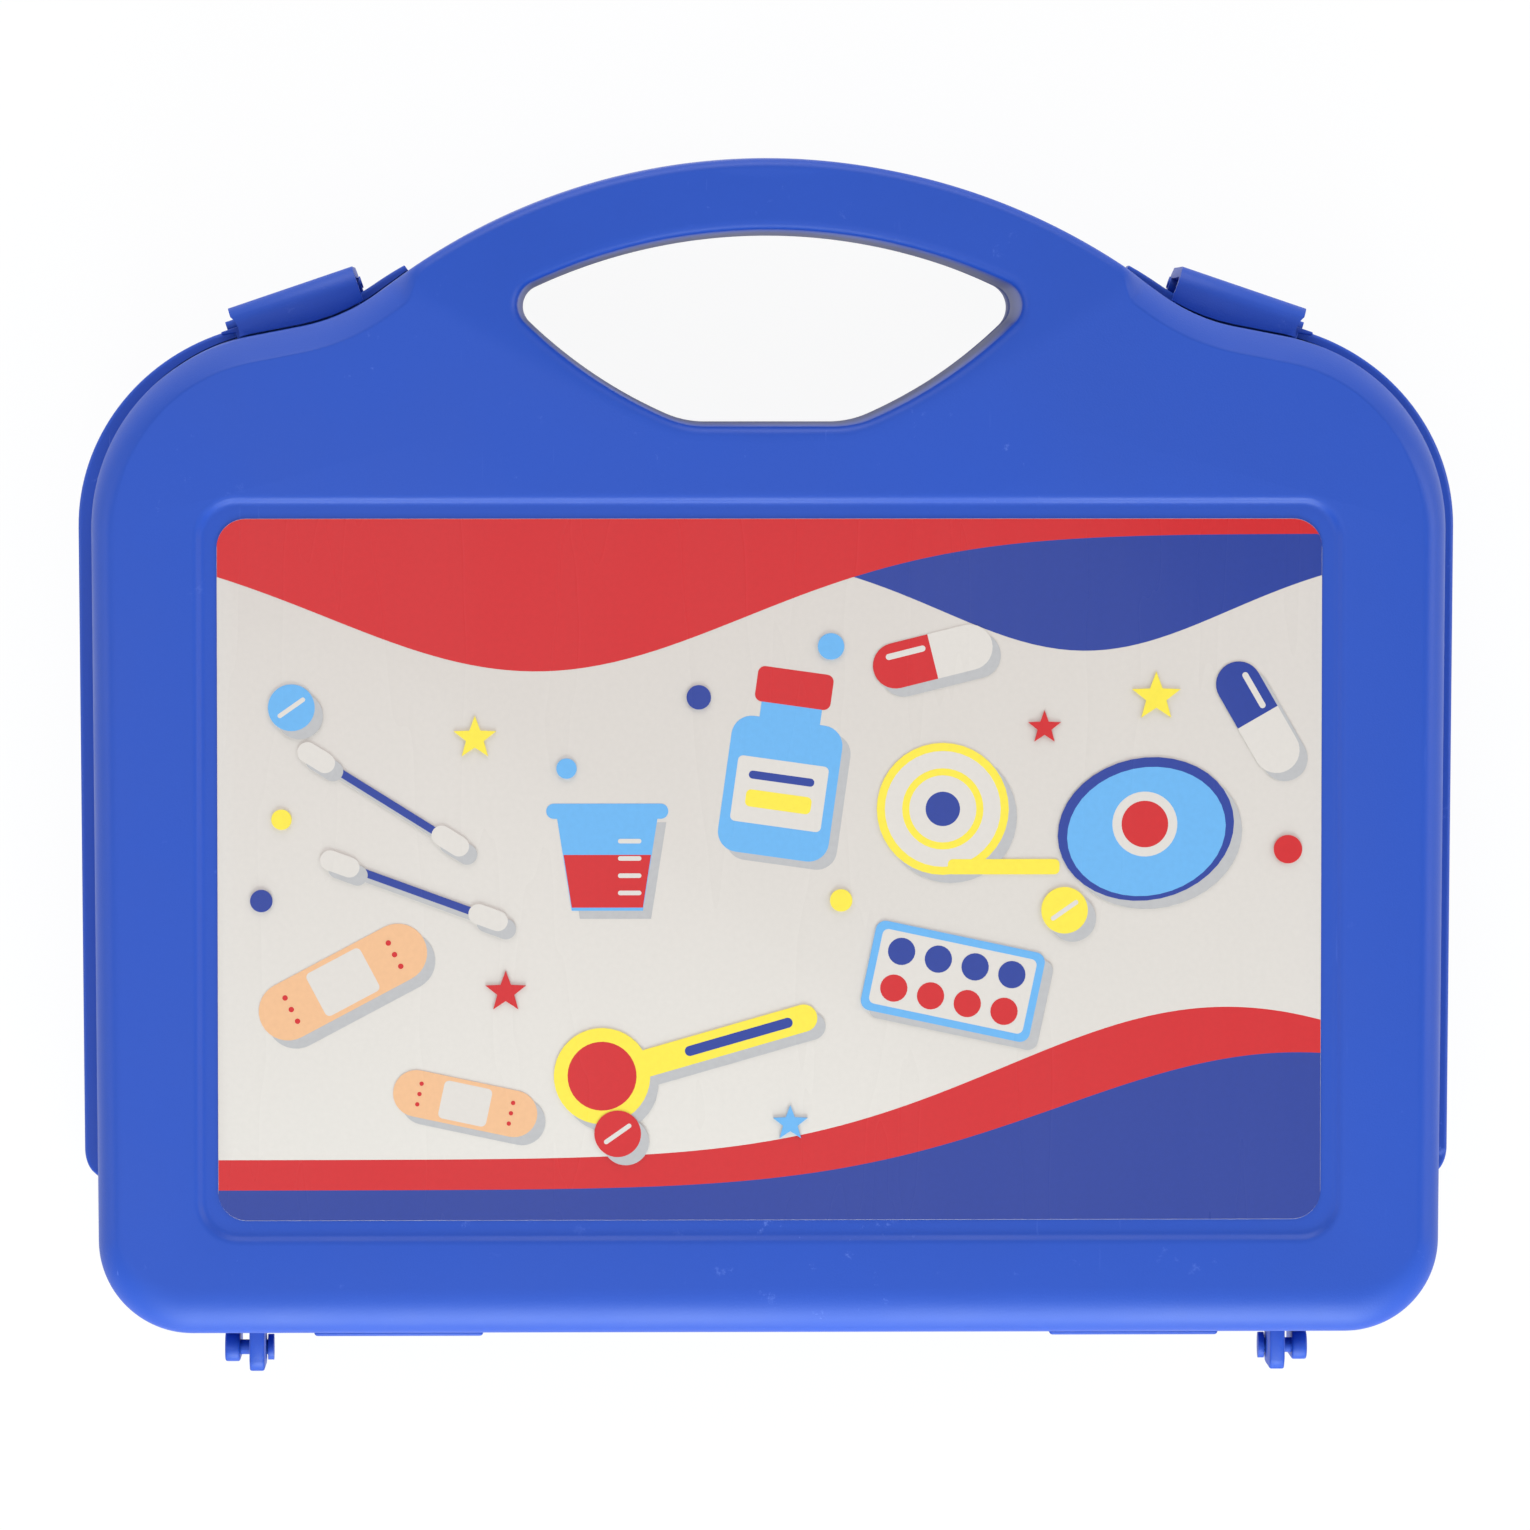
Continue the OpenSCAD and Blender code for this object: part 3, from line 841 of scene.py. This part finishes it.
link(spread.outputs["Result"], strength.inputs[0])
link(group_in.outputs["Depth of colour"], strength.inputs[1])
strength.inputs[2].default_value = 1.0
inked = add_node(film, "ShaderNodeVectorMath", operation="SCALE")
link(group_in.outputs["Ink"], inked.inputs[0])
link(strength.outputs[0], inked.inputs["Scale"])
link(inked.outputs["Vector"], group_out.inputs["Colour"])
gloss = add_node(film, "ShaderNodeMapRange", in_To_Min=0.22, in_To_Max=0.34)
link(waves.outputs["Fac"], gloss.inputs["Value"])
link(gloss.outputs["Result"], group_out.inputs["Roughness"])
link(waves.outputs["Fac"], group_out.inputs["Height"])


def printed_film(name, colour, depth=0.05):
    """Printing ink under the clear film."""
    material = bpy.data.materials.new(name)
    material.use_nodes = True
    tree = material.node_tree
    shader = tree.nodes["Principled BSDF"]
    cover = tree.nodes.new("ShaderNodeGroup")
    cover.node_tree = film
    cover.inputs["Depth of colour"].default_value = depth
    cover.inputs["Ink"].default_value = colour
    ripple = tree.nodes.new("ShaderNodeBump")
    ripple.inputs["Strength"].default_value = 0.35
    ripple.inputs["Distance"].default_value = 0.0006
    tree.links.new(cover.outputs["Height"], ripple.inputs["Height"])
    tree.links.new(ripple.outputs["Normal"], shader.inputs["Normal"])
    tree.links.new(cover.outputs["Colour"], shader.inputs["Base Color"])
    tree.links.new(cover.outputs["Roughness"], shader.inputs["Roughness"])
    shader.inputs["Coat Weight"].default_value = 0.15
    shader.inputs["Coat Roughness"].default_value = 0.08
    shader.inputs["Specular IOR Level"].default_value = 0.2
    return material


inks = {
    "white": printed_film("label_white", srgb(197, 190, 185), 0.03),
    "shadow": printed_film("label_shadow", srgb(166, 164, 166), 0.06),
    "red": printed_film("label_red", srgb(184, 24, 30)),
    "navy": printed_film("label_navy", srgb(26, 50, 132)),
    "sky": printed_film("label_sky", srgb(92, 156, 208)),
    "yellow": printed_film("label_yellow", srgb(222, 202, 60)),
    "tan": printed_film("label_tan", srgb(212, 164, 124)),
}


def to_frame(piece):
    """Puts a piece drawn in millimetres of the outline into the frame."""
    piece.location = (0, -mid_y * mm, 0)
    piece.scale = (mm, mm, mm)


def card_rings(outline, levels):
    return [[(x, y + panel_y, z) for x, y in outline] for z in levels]


card_outline = rounded_outline(card_w, card_h, card_r, 10)
card = from_rings("label_card", card_rings(card_outline, (card_low, card_top)), False)
soften(card, 0.08, 60)
to_frame(card)
settle(card, 30)
card.data.materials.append(inks["white"])
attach(card, "lid")
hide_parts("label")

prints = {}


def ink(colour, outline):
    """Prints a closed outline, in millimetres from the card's middle, over what is there."""
    order = 1 + sum(len(layers) for layers in prints.values())
    rings = card_rings(outline, (card_top - label_t / 2, card_top + order * layer))
    prints.setdefault(colour, []).append(from_rings("print", rings, False))


def turned(outline, x, y, angle=0):
    """An outline turned about its own middle and moved to x, y."""
    c, s = cosd(angle), sind(angle)
    return [(x + c * u - s * v, y + s * u + c * v) for u, v in outline]


def disc(radius, points=40):
    angles = [360 * k / points for k in range(points)]
    return [(radius * cosd(a), radius * sind(a)) for a in angles]


def bar(length, height, radius=None):
    radius = height / 2 - 0.01 if radius is None else radius
    return rounded_outline(length, height, radius, 8)


def shadowed(outline, x, y, angle=0):
    """A soft grey shadow of a printed thing, down to the right of it."""
    ink("shadow", turned(outline, x + 1.6, y - 1.6, angle))


def card_half_height(x):
    """Half the card's height at x, which is less in its round corners."""
    over = max(0, abs(x) - (card_w / 2 - card_r))
    return card_h / 2 - card_r + math.sqrt(max(0, card_r * card_r - over * over))


def sweep(colour, low, high, x0, x1, steps=120):
    """A band across the card between two curves, trimmed to the card's edge."""
    xs = [x0 + (x1 - x0) * (1 - cosd(180 * k / steps)) / 2 for k in range(steps + 1)]
    upper = [(x, min(high(x), card_half_height(x) - bleed)) for x in xs]
    lower = [(x, max(low(x), bleed - card_half_height(x))) for x in xs]
    lower = [(x, min(y, upper[i][1] - 0.02)) for i, (x, y) in enumerate(lower)]
    ink(colour, lower + upper[::-1])


half_w = card_w / 2 - bleed
foot = -card_h / 2
head = card_h / 2


def hill(x, base, height, middle, width):
    return base + height * math.exp(-(((x - middle) / width) ** 2))


# a navy band over a red one along the foot, both highest at the right, and two scallops
# that hang from the head
sweep("red", lambda x: foot, lambda x: hill(x, foot + 12, 30, 90, 62), -half_w, half_w)
sweep("navy", lambda x: foot, lambda x: hill(x, foot + 6, 27, 104, 66), -half_w, half_w)
sweep("navy", lambda x: hill(x, head - 6, -20, 62, 40), lambda x: head, -half_w, half_w)
sweep("red", lambda x: hill(x, head - 3, -27, -46, 58), lambda x: head, -half_w, half_w)


def plaster(x, y, angle, size=1.0):
    shape = bar(36 * size, 11.5 * size)
    shadowed(shape, x, y, angle)
    ink("tan", turned(shape, x, y, angle))
    ink("white", turned(bar(12 * size, 9.5 * size, 1), x, y, angle))
    for k in (-1, 1):
        for row in (-2.6, 0, 2.6):
            hole = [(u + k * 11.5 * size, v + row * size) for u, v in disc(0.55 * size, 12)]
            ink("red", turned(hole, x, y, angle))


def capsule(x, y, angle, colour):
    shape = bar(24, 9)
    shadowed(shape, x, y, angle)
    ink("white", turned(shape, x, y, angle))
    cap = [(min(u, 0), v) for u, v in shape]
    ink(colour, turned(cap, x, y, angle))
    ink("white", turned([(u - 5, v + 2) for u, v in bar(8, 1.2)], x, y, angle))


def medicine_bottle(x, y, angle):
    body = bar(22, 27, 4)
    shadowed(body, x, y, angle)
    ink("sky", turned(body, x, y, angle))
    ink("sky", turned([(u, v + 15) for u, v in bar(12, 6, 1)], x, y, angle))
    ink("red", turned([(u, v + 20) for u, v in bar(15, 7, 1.4)], x, y, angle))
    ink("white", turned([(u, v - 1) for u, v in bar(18, 13, 1)], x, y, angle))
    ink("navy", turned([(u, v + 2) for u, v in bar(13, 1.6)], x, y, angle))
    ink("yellow", turned([(u, v - 2.6) for u, v in bar(13, 3.4, 1)], x, y, angle))


def bandage_roll(x, y):
    shadowed(disc(13), x, y)
    for radius, colour in [(13, "yellow"), (11.4, "white"), (8, "yellow"), (6.6, "white")]:
        ink(colour, turned(disc(radius), x, y))
    ink("navy", turned(disc(3.4), x, y))
    ink("yellow", turned(bar(22, 3, 1), x + 12, y - 11.4))


def dosing_spoon(x, y, angle):
    handle = bar(40, 5.4)
    bowl = [(u - 24, v) for u, v in disc(9.5)]
    shadowed(handle, x, y, angle)
    shadowed(bowl, x, y, angle)
    ink("yellow", turned(handle, x, y, angle))
    ink("yellow", turned(bowl, x, y, angle))
    ink("red", turned([(u - 24, v) for u, v in disc(6.8)], x, y, angle))
    ink("navy", turned([(u + 4, v) for u, v in bar(22, 2)], x, y, angle))


def cold_pack(x, y, angle):
    bag = [(1.25 * u, v) for u, v in disc(14)]
    shadowed(bag, x, y, angle)
    ink("navy", turned(bag, x, y, angle))
    ink("sky", turned([(0.9 * u, 0.9 * v - 0.5) for u, v in bag], x, y, angle))
    ink("white", turned([(u, v + 1) for u, v in disc(6.4)], x, y, angle))
    ink("red", turned([(u, v + 1) for u, v in disc(4.6)], x, y, angle))


def star(x, y, radius, colour):
    points = []
    for k in range(10):
        r = radius if k % 2 == 0 else radius * 0.42
        points.append((x + r * sind(36 * k), y + r * cosd(36 * k)))
    ink(colour, points)


def blister_pack(x, y, angle):
    card = bar(34, 18, 2)
    shadowed(card, x, y, angle)
    ink("sky", turned(card, x, y, angle))
    ink("white", turned(bar(31, 15, 1.2), x, y, angle))
    for column in range(4):
        for row in (-1, 1):
            tablet = [(u + 7.4 * (column - 1.5), v + 3.7 * row) for u, v in disc(2.7, 24)]
            ink("red" if row < 0 else "navy", turned(tablet, x, y, angle))


def measuring_cup(x, y):
    cup = [(-7, -10), (7, -10), (10, 9), (-10, 9)]
    shadowed(cup, x, y)
    ink("sky", turned(cup, x, y))
    ink("red", turned([(-7, -9.4), (7, -9.4), (8.6, 1), (-8.6, 1)], x, y))
    ink("sky", turned([(u, v + 9.6) for u, v in bar(24, 3)], x, y))
    for k in range(4):
        ink("white", turned([(u + 4.4, v - 6.5 + 3.4 * k) for u, v in bar(4.6, 0.9)], x, y))


def cotton_bud(x, y, angle):
    stick = bar(32, 1.5)
    shadowed(stick, x, y, angle)
    ink("navy", turned(stick, x, y, angle))
    for end in (-1, 1):
        tip = [(u + 15.5 * end, v) for u, v in bar(8, 4)]
        shadowed(tip, x, y, angle)
        ink("white", turned(tip, x, y, angle))


def tablet(x, y, colour):
    shadowed(disc(4.6), x, y)
    ink(colour, turned(disc(4.6), x, y))
    ink("white", turned(bar(6.4, 0.9), x, y, 35))


medicine_bottle(2, 16, -8)
measuring_cup(-32, 2)
plaster(-84, -22, 28)
plaster(-60, -46, -12, 0.8)
capsule(32, 42, 14, "red")
capsule(96, 30, -60, "navy")
bandage_roll(34, 12)
dosing_spoon(-10, -34, 16)
cold_pack(74, 8, 12)
blister_pack(36, -22, -12)
cotton_bud(-76, 14, -32)
cotton_bud(-70, -4, -20)
tablet(-94, 32, "sky")
tablet(58, -8, "yellow")
tablet(-30, -52, "red")
star(76, 34, 5, "yellow")
star(-58, 26, 4.4, "yellow")
star(-52, -24, 4.2, "red")
star(54, 28, 3.4, "red")
star(4, -50, 3.6, "sky")
dots = [(-14, 34, 2.4, "navy"), (12, 44, 2.6, "sky"), (102, 4, 2.8, "red"), (-40, 20, 2, "sky")]
dots += [(-96, 10, 2, "yellow"), (14, -6, 2.2, "yellow"), (-100, -6, 2.2, "navy")]
for x, y, radius, colour in dots:
    ink(colour, turned(disc(radius), x, y))

for colour, layers in prints.items():
    only(layers[0])
    for piece in layers:
        piece.select_set(True)
    bpy.ops.object.join()
    sheet = bpy.context.object
    sheet.name = f"label_print_{colour}"
    to_frame(sheet)
    settle(sheet, 30)
    sheet.data.materials.append(inks[colour])
    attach(sheet, "lid")

# ---------------------------------------------------------------- Latches
# Two snap latches, moulded in the same blue. Each turns on a pin behind the seam and hooks
# over a catch on the front half. They are the frame's solids with softer edges and a hollow.


def solid_copy(node, name):
    """A copy of a solid from the frame, with its loose triangles merged."""
    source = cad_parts[node]
    piece = bpy.data.objects.new(name, source.data.copy())
    scene.collection.objects.link(piece)
    piece.data.materials.clear()
    only(piece)
    bpy.ops.object.mode_set(mode="EDIT")
    bpy.ops.mesh.select_all(action="SELECT")
    bpy.ops.mesh.remove_doubles(threshold=1e-6)
    bpy.ops.object.mode_set(mode="OBJECT")
    return piece


latch_blue = moulded_plastic("latch_blue", srgb(28, 70, 168), srgb(112, 138, 220), 0.6, 0.3)
latch_half_w = 13
latch_soft_edge = 0.00035
scoop_r = 4.5  # the outer end is hollowed for a fingertip
scoop_d = 0.8
scoop_v = 2.6
for side in ("left", "right"):
    latch = solid_copy("latch_" + side, f"latch_{side}_moulding")
    hand = -1 if side == "left" else 1
    x, y, z = on_shoulder(hand, latch_half_w + scoop_r - scoop_d, scoop_v, shell_d)
    bpy.ops.mesh.primitive_cylinder_add(
        vertices=64,
        radius=scoop_r * mm,
        depth=3 * shell_d * mm,
        location=(x * mm, (y - mid_y) * mm, z * mm),
    )
    carve(latch, bpy.context.object, "DIFFERENCE")
    soften(latch, latch_soft_edge)
    settle(latch, 40)
    latch.data.materials.append(latch_blue)
    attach(latch, "latch_" + side[0])
    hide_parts("latch_" + side)

# ---------------------------------------------------------------- Pins
# Plastic pins: plain ones pressed into the latch lugs, with a tail past the outer end, and
# headed ones in the hinge ears.
pin_soft_edge = 0.00025
kinds = (("latch", "latch_blue", latch_blue), ("hinge", "case_blue", case_blue))
for kind, slot, plastic in kinds:
    for side in ("left", "right"):
        pin = solid_copy(f"{kind}_pin_{side}", f"{kind}_pin_{side}_moulded")
        soften(pin, pin_soft_edge, 60)
        settle(pin, 40)
        pin.data.materials.append(plastic)
        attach(pin, "rear")
        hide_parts(f"{kind}_pin_{side}")
